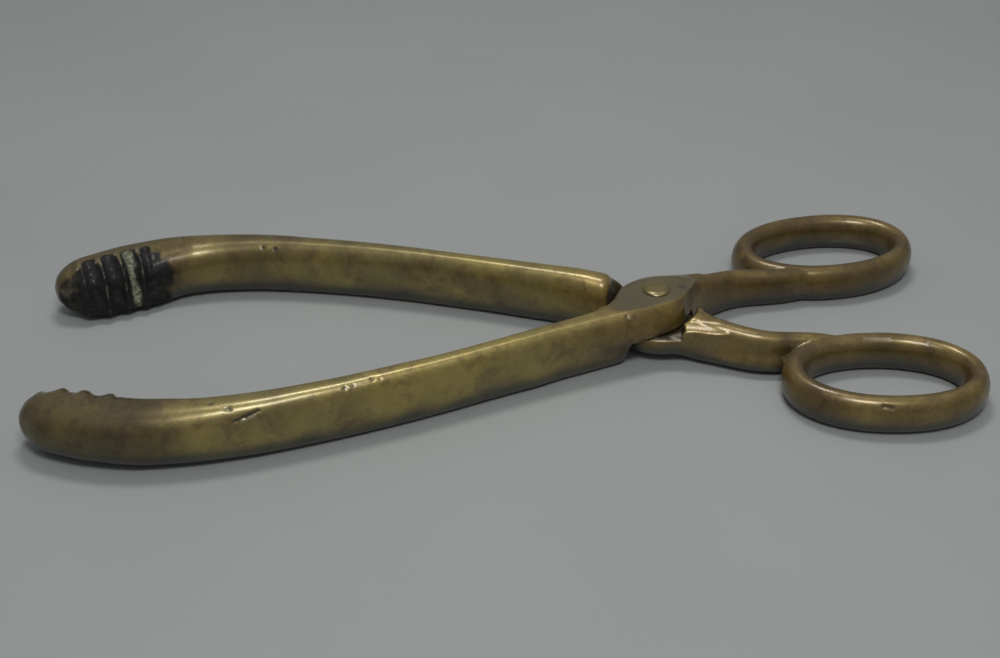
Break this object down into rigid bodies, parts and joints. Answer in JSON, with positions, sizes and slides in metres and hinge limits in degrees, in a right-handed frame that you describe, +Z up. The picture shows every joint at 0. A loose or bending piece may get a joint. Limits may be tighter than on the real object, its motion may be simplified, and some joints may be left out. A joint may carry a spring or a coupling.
{
  "type": "crucible tongs",
  "caption": "Scissor-pattern crucible tongs: long bowed cast arms with ridged jaws, a half-lapped riveted joint and oval finger bows.",
  "frame": {"origin": "on the pivot axis, at the plane the tongs lie on", "axes": "+Z up along the pivot axis, +X towards the finger bows, -X towards the jaws, +Y across the tongs"},
  "size_m": [0.2479, 0.0976, 0.0181],
  "materials": {
    "lever_brass": "aged cast brass, hand-worn satin with brown and olive patina, sooted at the jaws",
    "rivet_brass": "aged brass, hammered head with dull worn crown"
  },
  "bodies": {
    "lower": {"lower_lever": "lever_brass", "pivot_rivet": "rivet_brass"},
    "upper": {"upper_lever": "lever_brass"}
  },
  "joints": [
    {"name": "pivot", "type": "hinge", "parent": "lower", "child": "upper", "pos_m": [0, 0, 0.0086], "axis": [0, 0, 1], "range_deg": [-17, 20]}
  ]
}
